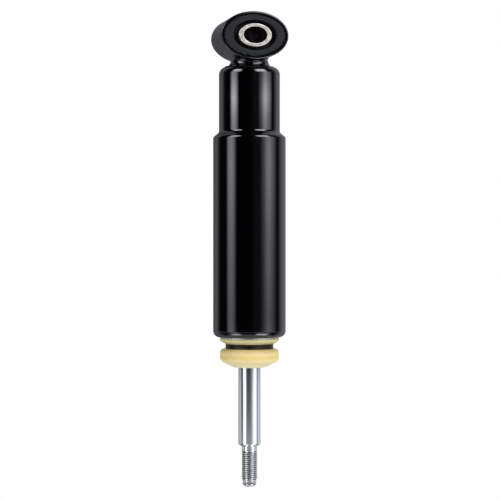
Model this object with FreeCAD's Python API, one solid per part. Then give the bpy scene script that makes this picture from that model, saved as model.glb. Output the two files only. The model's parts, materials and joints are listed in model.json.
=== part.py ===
import FreeCAD, Part
import math
import os

# Twin-tube shock absorber, millimetres.
# Origin: centre of the eye bore. +Z runs up the damper axis, the eye bore runs along Y.
# It stands fully extended, eye at the top and threaded stud at the bottom.

# Eye bush
bolt_bore_d = 8.2
sleeve_wall = 2.9
sleeve_length = 33.2
sleeve_chamfer = 0.4
mouth_gap = 1.05  # the oval mouth at each end clears the bolt bore by this above and below
mouth_stretch = 4.5  # the mouth is this much wider than tall
mouth_depth = 1.0
collar_rise = 0.3  # the oval collar at each end stands this far above the round sleeve
collar_stretch = 6.6  # the collar is this much wider than tall
collar_length = 6.5
rubber_wall = 5.6  # thinnest rubber, between sleeve and ring
rubber_proud = 0.3
moat_gap = 2.15  # open space above and below the collar in each end face
moat_stretch = 8.9  # the moat is this much wider than tall
moat_depth = 6.2
bush_clearance = 0.05

# Eye ring and stem
eye_wall = 2.4
eye_stretch = 13.4  # the ring is this much wider than tall
eye_length = 31.2
eye_chamfer = 0.5
stem_d = 23.9
stem_height = 3.6  # ring underside to the closed end of the tube
weld_leg = 3.0
weld_toe = 0.2

# Tubes
bore_d = 30.0
pressure_wall = 1.5
annulus_gap = 0.8
tube_wall = 2.0
tube_step = 3.7
upper_length = 41.4
step_length = 3.2
lower_length = 126.5
shoulder_bend = 2.5
step_bend = 1.0
lip_bend = 2.3
lip_flat = 0.2

# Closure, guide and seal
cap_thickness = 3.0
cap_proud = 0.6
cap_gap = 0.3
cap_rod_gap = 0.8
flange_thickness = 10.0
guide_spigot_length = 8.0
bush_wall = 1.0
bush_length = 12.0
bush_running_gap = 0.03
seal_depth = 5.0
seal_thickness = 6.5
seal_running_gap = 0.02
seal_lip_length = 2.6
seal_lip_wall = 1.8
garter_cord_d = 1.2
ring_cord_d = 2.2
ring_groove_width = 2.8

# Rod and stud
rod_d = 14.0
rod_exposed = 68.5
shoulder_chamfer = 1.4
shoulder_chamfer_length = 1.1
stud_d = 10.0
stud_pitch = 1.25
shank_relief = 0.16
shank_length = 3.2
thread_length = 18.4
dog_relief = 0.7
dog_length = 4.4
dog_chamfer = 2.3
dog_chamfer_length = 1.3

# Rebound stop
rest_gap = 0.05
bumper_thickness = 6.0
bumper_wall = 4.4
bumper_round = 1.5
stop_thickness = 5.0
stop_wall = 4.0
stop_groove_depth = 0.8
stop_groove_width = 2.4
stop_to_piston = 28.0

# Piston
spigot_d = 9.0
spigot_over_nut = 1.2
piston_height = 12.0
piston_gap = 0.3
hub_wall = 1.6
hub_height = 2.3
hub_land = 0.6
rim_land = 1.0
rebound_hole_d = 1.8
compression_hole_d = 2.0
passage_count = 8
band_width = 8.0
band_wall = 1.4
band_running_gap = 0.03
band_groove_gap = 0.08
plate_thickness = 0.5
plate_clearance = 0.1
plate_guide_wall = 0.6
plate_land = 0.4
plate_web = 2.0
plate_web_count = 3
stop_washer_thickness = 2.0
stop_washer_wall = 5.0
shim_count = 4
shim_thickness = 0.3
shim_step = 0.9
clamp_washer_thickness = 1.5
clamp_washer_wall = 2.2
nut_width = 14.0
nut_height = 7.0
nut_chamfer = 0.8

# Star springs under the two valve plates
star_thickness = 0.3
star_hub_width = 1.4
star_slot = 1.6
star_slot_count = 6

# Base valve
leg_height = 5.0
leg_wall = 1.4
leg_slot = 5.0
leg_slot_count = 4
base_plate_thickness = 6.0
base_spigot_length = 4.0
base_edge_gap = 0.2
base_hole_land = 1.2
base_intake_hole_d = 2.4
base_compression_hole_d = 1.6
pin_d = 6.0
pin_collar_wall = 2.2
pin_collar_length = 2.3
pin_flange_wall = 3.4
pin_flange_thickness = 1.5
pin_head_wall = 2.4
pin_head_height = 1.4

# Bump stop
bump_d = 37.2
bump_rod_gap = 0.08
bump_upper_height = 3.4
bump_upper_slope = 1.75  # height of the coned underside of the upper lobe
bump_waist_height = 3.1
bump_lower_height = 11.8
bump_nose_height = 4.35
bump_nose_width = 2.8
bump_upper_round = 1.4
bump_lower_round = 2.4
bump_nose_round = 3.6
bump_edge_round = 0.5
bump_ring_inset = 3.4
bump_ring_wall = 1.6
bump_ring_groove = 0.4
bump_relief_depth = 2.0
bump_relief_height = 4.5

# Radii that follow from the sizes above
sleeve_r = bolt_bore_d / 2 + sleeve_wall
mouth_height = bolt_bore_d + 2 * mouth_gap
mouth_width = mouth_height + mouth_stretch
collar_height = 2 * (sleeve_r + collar_rise)
collar_width = collar_height + collar_stretch
eye_height = 2 * (sleeve_r + rubber_wall + eye_wall)
eye_width = eye_height + eye_stretch
rubber_height = eye_height - 2 * eye_wall
rubber_width = eye_width - 2 * eye_wall
moat_height = collar_height + 2 * moat_gap
moat_width = moat_height + moat_stretch
stem_r = stem_d / 2
bore_r = bore_d / 2
pressure_r = bore_r + pressure_wall
upper_inner_r = pressure_r + annulus_gap
upper_r = upper_inner_r + tube_wall
lower_r = upper_r + tube_step
lower_inner_r = lower_r - tube_wall
lip_opening_r = lower_r - tube_wall - lip_bend - lip_flat
rod_r = rod_d / 2
stud_r = stud_d / 2
shank_r = stud_r - shank_relief
dog_r = stud_r - dog_relief
spigot_r = spigot_d / 2
seal_r = rod_r + seal_thickness
bush_outer_r = rod_r + bush_running_gap + bush_wall
piston_r = bore_r - piston_gap
hub_r = spigot_r + hub_wall
rebound_ring_r = hub_r + hub_land + rebound_hole_d / 2
compression_ring_r = piston_r - rim_land - compression_hole_d / 2
band_outer_r = bore_r - band_running_gap
band_inner_r = band_outer_r - band_wall
pin_r = pin_d / 2
pin_collar_r = pin_r + pin_collar_wall
base_intake_ring_r = bore_r - base_hole_land - pressure_wall - base_intake_hole_d / 2
base_compression_ring_r = pin_collar_r + base_hole_land + base_compression_hole_d / 2
bump_r = bump_d / 2
bump_waist_r = bump_r - bump_ring_inset - bump_ring_wall

# Heights down the axis
closed_end_z = -(eye_height / 2 + stem_height)
step_top_z = closed_end_z - upper_length
step_low_z = step_top_z - step_length
tube_end_z = step_low_z - lower_length
inner_floor_z = closed_end_z - tube_wall
base_top_z = inner_floor_z - leg_height
base_seat_z = base_top_z - base_plate_thickness
base_low_z = base_seat_z - base_spigot_length
cap_low_z = tube_end_z + tube_wall
cap_top_z = cap_low_z + cap_thickness
cap_face_z = tube_end_z - cap_proud
guide_seat_z = cap_top_z + flange_thickness
guide_top_z = guide_seat_z + guide_spigot_length
shoulder_z = tube_end_z - rod_exposed
thread_top_z = shoulder_z - shank_length
thread_low_z = thread_top_z - thread_length
stud_end_z = thread_low_z - dog_length
bumper_low_z = guide_top_z + rest_gap
stop_low_z = bumper_low_z + bumper_thickness
stop_top_z = stop_low_z + stop_thickness
piston_seat_z = stop_top_z + stop_to_piston
hub_low_z = piston_seat_z + stop_washer_thickness
piston_low_z = hub_low_z + hub_height
piston_top_z = piston_low_z + piston_height
shims_top_z = piston_top_z + shim_count * shim_thickness
clamp_top_z = shims_top_z + clamp_washer_thickness
nut_top_z = clamp_top_z + nut_height
spigot_end_z = nut_top_z + spigot_over_nut
bump_top_z = cap_face_z - rest_gap
waist_top_z = bump_top_z - bump_upper_height
waist_low_z = waist_top_z - bump_waist_height
bump_low_z = waist_low_z - bump_lower_height

origin = FreeCAD.Vector(0, 0, 0)
z_axis = FreeCAD.Vector(0, 0, 1)
x_axis = FreeCAD.Vector(1, 0, 0)


def rounded_wire(outline):
    """Closed wire in the XZ plane. Each point is radius, height and, where wanted, a corner radius."""
    corners = [FreeCAD.Vector(point[0], 0, point[1]) for point in outline]
    starts = []
    ends = []
    edges = []
    for index, point in enumerate(outline):
        corner = corners[index]
        if len(point) == 2:
            starts.append(corner)
            ends.append(corner)
            continue
        back = (corners[index - 1] - corner).normalize()
        ahead = (corners[(index + 1) % len(corners)] - corner).normalize()
        half_angle = back.getAngle(ahead) / 2
        reach = point[2] / math.tan(half_angle)
        to_arc = point[2] / math.sin(half_angle) - point[2]
        middle = corner + (back + ahead).normalize() * to_arc
        starts.append(corner + back * reach)
        ends.append(corner + ahead * reach)
        edges.append(Part.Arc(starts[-1], middle, ends[-1]).toShape())
    for index, end in enumerate(ends):
        start = starts[(index + 1) % len(starts)]
        if end.distanceToPoint(start) > 1e-6:
            edges.append(Part.makeLine(end, start))
    return Part.Wire(Part.__sortEdges__(edges))


def turned(outline):
    """Solid turned about the damper axis from an outline of radius and height."""
    return Part.Face(rounded_wire(outline)).revolve(origin, z_axis, 360)


def ring(inner_r, outer_r, low_z, top_z):
    """Plain turned ring between two radii and two heights."""
    return turned([(inner_r, low_z), (outer_r, low_z), (outer_r, top_z), (inner_r, top_z)])


def hole_circle(count, ring_r, hole_d, low_z, top_z, first_share=0.0):
    """Drills parallel to the axis, evenly spaced round a circle."""
    drills = []
    for index in range(count):
        angle = 2 * math.pi * (index + first_share) / count
        place = FreeCAD.Vector(ring_r * math.cos(angle), ring_r * math.sin(angle), low_z)
        drills.append(Part.makeCylinder(hole_d / 2, top_z - low_z, place))
    return Part.makeCompound(drills)


def radial_slots(count, width, inner_r, outer_r, low_z, top_z):
    """Straight radial slots, evenly spaced round the axis."""
    slots = []
    for index in range(count):
        place = FreeCAD.Vector(inner_r, -width / 2, low_z)
        slot = Part.makeBox(outer_r - inner_r, width, top_z - low_z, place)
        slot.rotate(origin, z_axis, 360 * index / count)
        slots.append(slot)
    return Part.makeCompound(slots)


def oval_bar(width, height, length):
    """Oval bar along Y, centred on the origin."""
    outline = Part.Ellipse(origin, width / 2, height / 2).toShape()
    bar = Part.Face(Part.Wire(outline)).extrude(z_axis * length)
    bar.translate(z_axis * (-length / 2))
    bar.rotate(origin, x_axis, 90)
    return bar


def round_bar(radius, length):
    """Round bar along Y, centred on the origin."""
    bar = Part.makeCylinder(radius, length, z_axis * (-length / 2))
    bar.rotate(origin, x_axis, 90)
    return bar


def oval_ends(width, height, depth, length):
    """Two oval bars along Y that reach in from the two ends of a bar of that length."""
    ends = []
    for side in (-1, 1):
        end = oval_bar(width, height, depth)
        end.translate(FreeCAD.Vector(0, side * (length - depth) / 2, 0))
        ends.append(end)
    return ends


def end_edges(shape, length):
    """Edges that lie in the two end planes of a bar along Y."""
    return [edge for edge in shape.Edges if abs(edge.BoundBox.YLength) < 1e-3
            and abs(abs(edge.CenterOfMass.y) - length / 2) < 1e-3]


def bush_sleeve():
    barrel = round_bar(sleeve_r, sleeve_length - collar_length)
    collars = oval_ends(collar_width, collar_height, collar_length, sleeve_length)
    mouths = oval_ends(mouth_width, mouth_height, mouth_depth, sleeve_length)
    sleeve = barrel.fuse(collars).cut(mouths).cut(round_bar(bolt_bore_d / 2, sleeve_length))
    return sleeve.makeChamfer(sleeve_chamfer, end_edges(sleeve, sleeve_length))


def bush_rubber():
    length = eye_length + 2 * rubber_proud
    rubber = oval_bar(rubber_width, rubber_height, length).cut(round_bar(sleeve_r + bush_clearance, length))
    return rubber.cut(oval_ends(moat_width, moat_height, moat_depth, length))


def eye_ring():
    hoop = oval_bar(eye_width, eye_height, eye_length)
    hoop = hoop.cut(oval_bar(rubber_width, rubber_height, eye_length))
    return hoop.makeChamfer(eye_chamfer, end_edges(hoop, eye_length))


def eye_stem():
    stub = turned([(0, closed_end_z), (stem_r, closed_end_z), (stem_r, 0), (0, 0)])
    return stub.cut(oval_bar(eye_width, eye_height, eye_length))


def stem_weld():
    leg_z = closed_end_z + weld_leg
    toe_z = closed_end_z + weld_toe
    return turned([
        (stem_r, closed_end_z),
        (stem_r + weld_leg, closed_end_z),
        (stem_r + weld_leg, toe_z),
        (stem_r + weld_toe, toe_z, weld_leg - 2 * weld_toe),
        (stem_r + weld_toe, leg_z),
        (stem_r, leg_z),
    ])


def reservoir_tube():
    step_angle = math.atan2(tube_step, step_length)
    inner_drop = tube_wall * math.tan(step_angle / 2)
    outer_bend = step_bend + tube_wall
    return turned([
        (0, closed_end_z),
        (upper_r, closed_end_z, shoulder_bend + tube_wall),
        (upper_r, step_top_z, outer_bend),
        (lower_r, step_low_z, outer_bend),
        (lower_r, tube_end_z, lip_bend + tube_wall),
        (lip_opening_r, tube_end_z),
        (lip_opening_r, cap_low_z),
        (lower_inner_r, cap_low_z, lip_bend),
        (lower_inner_r, step_low_z - inner_drop, step_bend),
        (upper_inner_r, step_top_z - inner_drop, outer_bend + tube_wall),
        (upper_inner_r, inner_floor_z, shoulder_bend),
        (0, inner_floor_z),
    ])


def pressure_tube():
    return ring(bore_r, pressure_r, guide_seat_z, base_seat_z)


def closure_cap():
    boss_r = lip_opening_r - cap_gap
    hole_r = rod_r + cap_rod_gap
    return turned([
        (hole_r, cap_face_z),
        (boss_r, cap_face_z, cap_proud / 2),
        (boss_r, cap_low_z),
        (lower_inner_r, cap_low_z, lip_bend),
        (lower_inner_r, cap_top_z),
        (hole_r, cap_top_z),
    ])


def ring_groove_z():
    return cap_top_z + flange_thickness / 2


def rod_guide():
    groove_r = lower_inner_r - ring_cord_d
    groove_low_z = ring_groove_z() - ring_groove_width / 2
    groove_top_z = ring_groove_z() + ring_groove_width / 2
    recess_z = cap_top_z + seal_depth
    return turned([
        (seal_r, cap_top_z),
        (lower_inner_r, cap_top_z),
        (lower_inner_r, groove_low_z),
        (groove_r, groove_low_z),
        (groove_r, groove_top_z),
        (lower_inner_r, groove_top_z),
        (lower_inner_r, guide_seat_z),
        (bore_r, guide_seat_z),
        (bore_r, guide_top_z),
        (bush_outer_r, guide_top_z),
        (bush_outer_r, recess_z),
        (seal_r, recess_z),
    ])


def guide_bush():
    return ring(rod_r + bush_running_gap, bush_outer_r, guide_top_z - bush_length, guide_top_z)


def guide_seal_ring():
    cord_r = ring_cord_d / 2
    return Part.makeTorus(lower_inner_r - cord_r, cord_r, z_axis * ring_groove_z())


def garter():
    cord_r = garter_cord_d / 2
    lip_outer_r = rod_r + seal_running_gap + seal_lip_wall
    return Part.makeTorus(lip_outer_r, cord_r, z_axis * (cap_top_z + seal_depth - seal_lip_length / 2))


def rod_seal():
    lip_r = rod_r + seal_running_gap
    lip_low_z = cap_top_z + seal_depth - seal_lip_length
    body = turned([
        (lip_r, cap_top_z),
        (seal_r, cap_top_z),
        (seal_r, lip_low_z),
        (lip_r + seal_lip_wall, lip_low_z),
        (lip_r + seal_lip_wall, cap_top_z + seal_depth),
        (lip_r, cap_top_z + seal_depth),
    ])
    return body.cut(garter())


def thread_groove():
    """Helical groove of the stud thread, open at the dog end and stopped below the shank."""
    depth = 0.6134 * stud_pitch
    slope = math.tan(math.radians(30))
    root_half = stud_pitch / 12
    over = stud_pitch / 4
    mouth_half = root_half + slope * (depth + over)
    height = thread_length + stud_pitch / 2
    helix = Part.makeLongHelix(stud_pitch, height, stud_r, 0, False)
    section = Part.makePolygon([
        FreeCAD.Vector(stud_r - depth, 0, -root_half),
        FreeCAD.Vector(stud_r + over, 0, -mouth_half),
        FreeCAD.Vector(stud_r + over, 0, mouth_half),
        FreeCAD.Vector(stud_r - depth, 0, root_half),
        FreeCAD.Vector(stud_r - depth, 0, -root_half),
    ])
    groove = Part.Wire(helix.Edges).makePipeShell([section], True, True)
    groove.translate(z_axis * (thread_low_z - stud_pitch))
    return groove


def piston_rod():
    groove_r = rod_r - stop_groove_depth
    groove_low_z = (stop_low_z + stop_top_z - stop_groove_width) / 2
    groove_top_z = groove_low_z + stop_groove_width
    bar = turned([
        (0, stud_end_z),
        (dog_r - dog_chamfer, stud_end_z),
        (dog_r, stud_end_z + dog_chamfer_length),
        (dog_r, thread_low_z),
        (stud_r, thread_low_z + dog_relief),
        (stud_r, thread_top_z),
        (shank_r, thread_top_z + shank_relief),
        (shank_r, shoulder_z),
        (rod_r - shoulder_chamfer, shoulder_z),
        (rod_r, shoulder_z + shoulder_chamfer_length),
        (rod_r, groove_low_z),
        (groove_r, groove_low_z),
        (groove_r, groove_top_z),
        (rod_r, groove_top_z),
        (rod_r, piston_seat_z),
        (spigot_r, piston_seat_z),
        (spigot_r, spigot_end_z),
        (0, spigot_end_z),
    ])
    return bar.cut(thread_groove())


def rebound_stop():
    groove_r = rod_r - stop_groove_depth
    groove_low_z = (stop_low_z + stop_top_z - stop_groove_width) / 2
    groove_top_z = groove_low_z + stop_groove_width
    return turned([
        (rod_r, stop_low_z),
        (rod_r + stop_wall, stop_low_z),
        (rod_r + stop_wall, stop_top_z),
        (rod_r, stop_top_z),
        (rod_r, groove_top_z),
        (groove_r, groove_top_z),
        (groove_r, groove_low_z),
        (rod_r, groove_low_z),
    ])


def rebound_bumper():
    outer_r = rod_r + bumper_wall
    return turned([
        (rod_r, bumper_low_z),
        (outer_r, bumper_low_z, bumper_round),
        (outer_r, stop_low_z, bumper_round),
        (rod_r, stop_low_z),
    ])


def piston_body():
    groove_r = band_inner_r - band_groove_gap
    middle_z = (piston_low_z + piston_top_z) / 2
    groove_half = band_width / 2 + band_groove_gap
    body = turned([
        (spigot_r, hub_low_z),
        (hub_r, hub_low_z),
        (hub_r, piston_low_z),
        (piston_r, piston_low_z),
        (piston_r, middle_z - groove_half),
        (groove_r, middle_z - groove_half),
        (groove_r, middle_z + groove_half),
        (piston_r, middle_z + groove_half),
        (piston_r, piston_top_z),
        (spigot_r, piston_top_z),
    ])
    rebound = hole_circle(passage_count, rebound_ring_r, rebound_hole_d, piston_low_z, piston_top_z)
    compression = hole_circle(
        passage_count, compression_ring_r, compression_hole_d, piston_low_z, piston_top_z, 0.5)
    return body.cut(rebound).cut(compression)


def piston_band():
    middle_z = (piston_low_z + piston_top_z) / 2
    return ring(band_inner_r, band_outer_r, middle_z - band_width / 2, middle_z + band_width / 2)


def ported_plate(guide_r, ports_r, port_d, low_z):
    """Valve plate guided on a hub, solid under one circle of holes and open inside it."""
    inner_r = guide_r + plate_clearance
    window_in_r = inner_r + plate_guide_wall
    window_out_r = ports_r - port_d / 2 - plate_land
    outer_r = ports_r + port_d / 2 + plate_land
    top_z = low_z + plate_thickness
    window = ring(window_in_r, window_out_r, low_z, top_z)
    webs = radial_slots(plate_web_count, plate_web, 0, outer_r, low_z, top_z)
    return ring(inner_r, outer_r, low_z, top_z).cut(window.cut(webs))


def star_spring(guide_r, outer_r, low_z, top_z):
    """Coned star spring: a flat hub with fingers that rise to the plate."""
    inner_r = guide_r + plate_clearance
    bend_r = inner_r + star_hub_width
    cone = turned([
        (inner_r, low_z),
        (bend_r, low_z),
        (outer_r, top_z - star_thickness),
        (outer_r, top_z),
        (bend_r, low_z + star_thickness),
        (inner_r, low_z + star_thickness),
    ])
    return cone.cut(radial_slots(star_slot_count, star_slot, bend_r, outer_r + star_slot, low_z, top_z))


def piston_check_plate():
    plate_z = piston_low_z - rest_gap - plate_thickness
    return ported_plate(hub_r, compression_ring_r, compression_hole_d, plate_z)


def piston_check_spring():
    plate_z = piston_low_z - rest_gap - plate_thickness
    return star_spring(hub_r, compression_ring_r, hub_low_z, plate_z - rest_gap)


def piston_stop_washer():
    return ring(spigot_r, spigot_r + stop_washer_wall, piston_seat_z, hub_low_z)


def piston_shims():
    cover_r = rebound_ring_r + rebound_hole_d / 2 + plate_land
    shims = []
    for index in range(shim_count):
        low_z = piston_top_z + index * shim_thickness
        outer_r = cover_r - index * shim_step
        shims.append(ring(spigot_r, outer_r, low_z, low_z + shim_thickness))
    return Part.makeCompound(shims)


def piston_clamp_washer():
    return ring(spigot_r, spigot_r + clamp_washer_wall, shims_top_z, clamp_top_z)


def piston_nut():
    corner_r = nut_width / math.sqrt(3)
    corners = []
    for index in range(7):
        angle = math.radians(60 * index)
        corners.append(FreeCAD.Vector(corner_r * math.cos(angle), corner_r * math.sin(angle), clamp_top_z))
    hexagon = Part.Face(Part.makePolygon(corners)).extrude(z_axis * nut_height)
    blank = turned([
        (spigot_r, clamp_top_z),
        (corner_r, clamp_top_z),
        (corner_r, nut_top_z - nut_chamfer / 2),
        (corner_r - nut_chamfer, nut_top_z),
        (spigot_r, nut_top_z),
    ])
    return hexagon.common(blank)


def base_valve_body():
    leg_r = upper_inner_r - shoulder_bend - base_edge_gap
    legs = ring(leg_r - leg_wall, leg_r, base_top_z, inner_floor_z)
    legs = legs.cut(radial_slots(leg_slot_count, leg_slot, 0, upper_r, base_top_z, inner_floor_z))
    plate = turned([
        (pin_r, base_low_z),
        (bore_r, base_low_z),
        (bore_r, base_seat_z),
        (pressure_r, base_seat_z),
        (pressure_r, base_top_z),
        (pin_r, base_top_z),
    ])
    intake = hole_circle(
        passage_count, base_intake_ring_r, base_intake_hole_d, base_low_z, base_top_z)
    compression = hole_circle(
        passage_count, base_compression_ring_r, base_compression_hole_d, base_low_z, base_top_z, 0.5)
    return plate.fuse(legs).cut(intake).cut(compression).removeSplitter()


def base_intake_plate():
    plate_z = base_low_z - rest_gap - plate_thickness
    return ported_plate(pin_collar_r, base_intake_ring_r, base_intake_hole_d, plate_z)


def base_intake_spring():
    flange_z = base_low_z - pin_collar_length
    plate_z = base_low_z - rest_gap - plate_thickness
    return star_spring(pin_collar_r, base_intake_ring_r, flange_z, plate_z - rest_gap)


def base_shims():
    cover_r = base_compression_ring_r + base_compression_hole_d / 2 + plate_land
    shims = []
    for index in range(shim_count):
        low_z = base_top_z + index * shim_thickness
        outer_r = cover_r - index * shim_step
        shims.append(ring(pin_r, outer_r, low_z, low_z + shim_thickness))
    return Part.makeCompound(shims)


def base_valve_pin():
    collar_z = base_low_z - pin_collar_length
    flange_z = collar_z - pin_flange_thickness
    head_z = base_top_z + shim_count * shim_thickness
    flange_r = pin_collar_r + pin_flange_wall
    return turned([
        (0, flange_z),
        (flange_r, flange_z),
        (flange_r, collar_z),
        (pin_collar_r, collar_z),
        (pin_collar_r, base_low_z),
        (pin_r, base_low_z),
        (pin_r, head_z),
        (pin_r + pin_head_wall, head_z),
        (pin_r + pin_head_wall, head_z + pin_head_height),
        (0, head_z + pin_head_height),
    ])


def bump_stop():
    inner_r = rod_r + bump_rod_gap
    relief_r = inner_r + bump_relief_depth
    relief_low_z = (waist_low_z + bump_low_z - bump_relief_height) / 2
    relief_top_z = relief_low_z + bump_relief_height
    return turned([
        (inner_r, bump_low_z),
        (inner_r + bump_nose_width, bump_low_z, bump_lower_round),
        (bump_r, bump_low_z + bump_nose_height, bump_nose_round),
        (bump_r, waist_low_z, bump_lower_round),
        (bump_waist_r, waist_low_z),
        (bump_waist_r, waist_top_z),
        (bump_r - bump_ring_inset, waist_top_z),
        (bump_r, waist_top_z + bump_upper_slope, bump_upper_round),
        (bump_r, bump_top_z, bump_edge_round),
        (inner_r, bump_top_z),
        (inner_r, relief_top_z),
        (relief_r, relief_top_z, bump_edge_round),
        (relief_r, relief_low_z, bump_edge_round),
        (inner_r, relief_low_z),
    ])


def bump_stop_ring():
    outer_r = bump_waist_r + bump_ring_wall
    middle_z = (waist_top_z + waist_low_z) / 2
    return turned([
        (bump_waist_r, waist_low_z),
        (outer_r, waist_low_z, bump_ring_groove),
        (outer_r, middle_z - bump_ring_groove),
        (outer_r - bump_ring_groove, middle_z),
        (outer_r, middle_z + bump_ring_groove),
        (outer_r, waist_top_z, bump_ring_groove),
        (bump_waist_r, waist_top_z),
    ])


nodes = {
    "bush_sleeve": bush_sleeve,
    "bush_rubber": bush_rubber,
    "eye_ring": eye_ring,
    "eye_stem": eye_stem,
    "stem_weld": stem_weld,
    "reservoir_tube": reservoir_tube,
    "pressure_tube": pressure_tube,
    "closure_cap": closure_cap,
    "rod_guide": rod_guide,
    "guide_bush": guide_bush,
    "guide_seal_ring": guide_seal_ring,
    "rod_seal": rod_seal,
    "seal_spring": garter,
    "piston_rod": piston_rod,
    "rebound_stop": rebound_stop,
    "rebound_bumper": rebound_bumper,
    "piston_body": piston_body,
    "piston_band": piston_band,
    "piston_check_plate": piston_check_plate,
    "piston_check_spring": piston_check_spring,
    "piston_stop_washer": piston_stop_washer,
    "piston_shims": piston_shims,
    "piston_clamp_washer": piston_clamp_washer,
    "piston_nut": piston_nut,
    "base_valve_body": base_valve_body,
    "base_intake_plate": base_intake_plate,
    "base_intake_spring": base_intake_spring,
    "base_shims": base_shims,
    "base_valve_pin": base_valve_pin,
    "bump_stop": bump_stop,
    "bump_stop_ring": bump_stop_ring,
}

os.makedirs("parts", exist_ok=True)
for node, make in nodes.items():
    make().exportStep(f"parts/{node}.step")
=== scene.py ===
import json
import math

import bmesh
import bpy
from mathutils import Matrix, Vector

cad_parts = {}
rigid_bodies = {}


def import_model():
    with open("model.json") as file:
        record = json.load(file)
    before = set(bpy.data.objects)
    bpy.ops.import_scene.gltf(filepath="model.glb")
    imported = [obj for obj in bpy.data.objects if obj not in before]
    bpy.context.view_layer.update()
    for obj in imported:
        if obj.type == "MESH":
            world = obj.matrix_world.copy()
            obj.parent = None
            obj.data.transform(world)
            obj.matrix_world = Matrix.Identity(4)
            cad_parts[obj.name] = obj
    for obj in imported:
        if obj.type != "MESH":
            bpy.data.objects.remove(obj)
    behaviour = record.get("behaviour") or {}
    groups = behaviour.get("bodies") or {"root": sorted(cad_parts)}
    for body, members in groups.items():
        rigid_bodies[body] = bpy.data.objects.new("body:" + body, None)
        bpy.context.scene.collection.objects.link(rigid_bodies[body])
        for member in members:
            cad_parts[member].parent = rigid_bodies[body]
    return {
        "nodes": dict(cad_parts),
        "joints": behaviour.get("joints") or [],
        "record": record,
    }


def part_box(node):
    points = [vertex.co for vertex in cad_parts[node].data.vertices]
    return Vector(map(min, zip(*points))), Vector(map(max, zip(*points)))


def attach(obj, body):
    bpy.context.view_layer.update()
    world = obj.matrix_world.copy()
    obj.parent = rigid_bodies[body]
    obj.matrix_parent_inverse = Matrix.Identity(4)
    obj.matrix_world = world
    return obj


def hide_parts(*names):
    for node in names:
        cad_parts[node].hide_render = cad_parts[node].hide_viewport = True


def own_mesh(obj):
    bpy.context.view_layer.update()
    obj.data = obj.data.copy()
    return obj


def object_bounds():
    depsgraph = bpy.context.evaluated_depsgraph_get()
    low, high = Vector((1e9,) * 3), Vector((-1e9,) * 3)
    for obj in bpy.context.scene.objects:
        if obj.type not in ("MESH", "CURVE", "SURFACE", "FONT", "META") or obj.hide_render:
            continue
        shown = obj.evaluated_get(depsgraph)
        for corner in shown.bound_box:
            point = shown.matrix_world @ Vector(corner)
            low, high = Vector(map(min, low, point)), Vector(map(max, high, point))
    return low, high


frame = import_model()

mm = 0.001  # the model is in metres, the settings below in millimetres
mergeDistance = 1e-6  # metres
noiseSpan = {"From Min": 0.3, "From Max": 0.7}  # where most of a noise pattern lies
cadBounds = [list(corner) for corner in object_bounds()]
nodes = frame["nodes"]
print("frame loaded:", len(nodes), "nodes")


# small helpers

def hexColour(code):
    channels = [int(code[i:i + 2], 16) / 255 for i in (0, 2, 4)]
    linear = [c / 12.92 if c <= 0.04045 else ((c + 0.055) / 1.055) ** 2.4 for c in channels]
    return (*linear, 1.0)


def addNode(tree, kind, inputs=None, stops=(), **settings):
    node = tree.nodes.new(kind)
    for name, value in settings.items():
        setattr(node, name, value)
    for index, (place, colour) in enumerate(stops):  # for a colour ramp
        elements = node.color_ramp.elements
        element = elements[index] if index < len(elements) else elements.new(place)
        element.position = place
        element.color = colour
    for socket, value in (inputs or {}).items():
        if isinstance(value, bpy.types.NodeSocket):
            tree.links.new(value, node.inputs[socket])
        else:
            node.inputs[socket].default_value = value
    return node


def startMaterial(name, sockets):
    material = bpy.data.materials.new(name)
    material.use_nodes = True
    tree = material.node_tree
    shader = tree.nodes["Principled BSDF"]
    for socket, value in sockets.items():
        shader.inputs[socket].default_value = value
    place = addNode(tree, "ShaderNodeTexCoord").outputs["Object"]
    return material, tree, place


def finishMaterial(material, patterns):  # the shader's sockets, each with the node that feeds it
    tree = material.node_tree
    shader = tree.nodes["Principled BSDF"]
    for socket, node in patterns.items():
        tree.links.new(node.outputs[0], shader.inputs[socket])
    return material


def finishPiece(name, bm, materials, body, replaced, sharpAngle=32):
    bmesh.ops.remove_doubles(bm, verts=bm.verts, dist=mergeDistance)
    bmesh.ops.recalc_face_normals(bm, faces=bm.faces)
    mesh = bpy.data.meshes.new(name)
    bm.to_mesh(mesh)
    bm.free()
    mesh.shade_smooth()
    mesh.set_sharp_from_angle(angle=math.radians(sharpAngle))
    for material in materials:
        mesh.materials.append(material)
    piece = bpy.data.objects.new(name, mesh)
    bpy.context.scene.collection.objects.link(piece)
    piece.modifiers.new("evenShading", "WEIGHTED_NORMAL").keep_sharp = True  # long walls shade straight
    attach(piece, body)
    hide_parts(*replaced)
    print("piece", name, len(mesh.polygons), "faces")
    return piece


def turnOutline(bm, outline, steps, roundSteps=1, closed=False):
    corners = [bm.verts.new((point[0] * mm, 0, point[1] * mm)) for point in outline]
    pairs = list(zip(corners, corners[1:]))
    if closed:
        pairs.append((corners[-1], corners[0]))
    for pair in pairs:
        bm.edges.new(pair)
    drawn = list(corners)
    for corner, point in zip(corners, outline):
        if len(point) == 3:  # third number: how far the rounding reaches along both edges
            made = bmesh.ops.bevel(bm, geom=[corner], offset=point[2] * mm, offset_type="OFFSET",
                                   segments=roundSteps, profile=0.5, affect="VERTICES", material=-1)
            drawn += made["verts"]
    drawn = list(dict.fromkeys(vert for vert in drawn if vert.is_valid))  # once each, in a steady order
    edges = list(dict.fromkeys(edge for vert in drawn for edge in vert.link_edges))
    bmesh.ops.spin(bm, geom=drawn + edges, axis=(0, 0, 1), cent=(0, 0, 0),
                   angle=2 * math.pi, steps=steps, use_merge=True)
    bmesh.ops.remove_doubles(bm, verts=bm.verts, dist=mergeDistance)


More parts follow.
